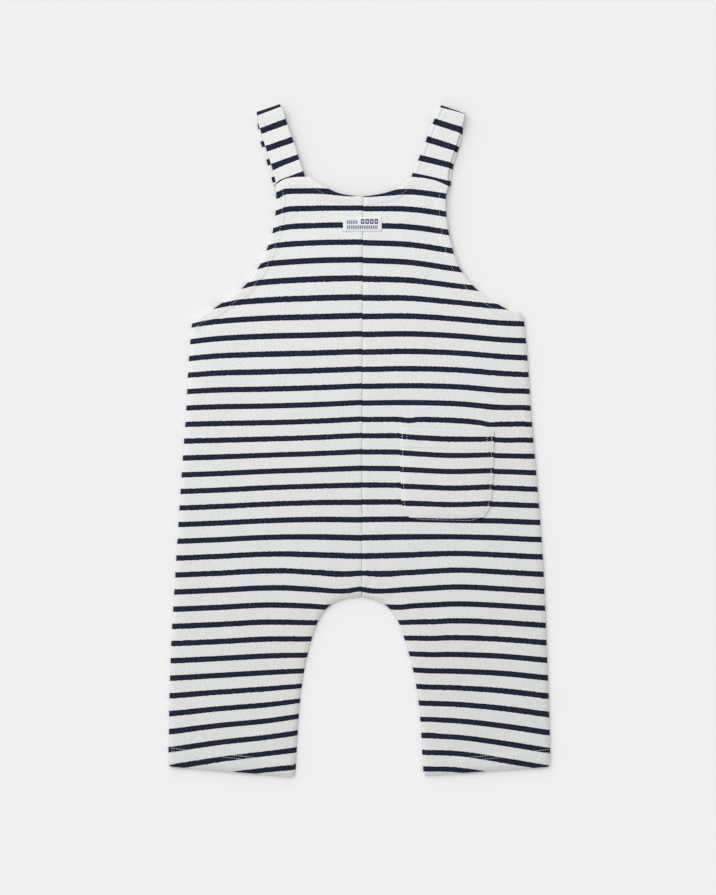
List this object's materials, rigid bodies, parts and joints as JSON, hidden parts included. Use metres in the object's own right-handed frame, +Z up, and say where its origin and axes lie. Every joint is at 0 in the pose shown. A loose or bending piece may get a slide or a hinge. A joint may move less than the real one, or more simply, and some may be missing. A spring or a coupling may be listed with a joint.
{
  "type": "baby dungarees",
  "caption": "Baby dungarees in striped cotton fleece, laid flat with the back up: bib and legs cut in one, shoulder straps folded over, a patch pocket and a small label.",
  "frame": {"origin": "under the middle of the garment, on the surface that it lies on", "axes": "+Y from the leg hems to the shoulder straps, +Z up, out of the back, +X to the wearer's right"},
  "size_m": [0.3116, 0.55, 0.0064],
  "materials": {
    "fleece": "soft matt cotton fleece, cream with narrow navy stripes",
    "label": "smooth white woven tape"
  },
  "bodies": {
    "root": {"back_left": "fleece", "back_right": "fleece", "front_left": "fleece", "front_right": "fleece", "strap_left": "fleece", "strap_right": "fleece", "back_pocket": "fleece", "back_label": "label"}
  },
  "joints": []
}
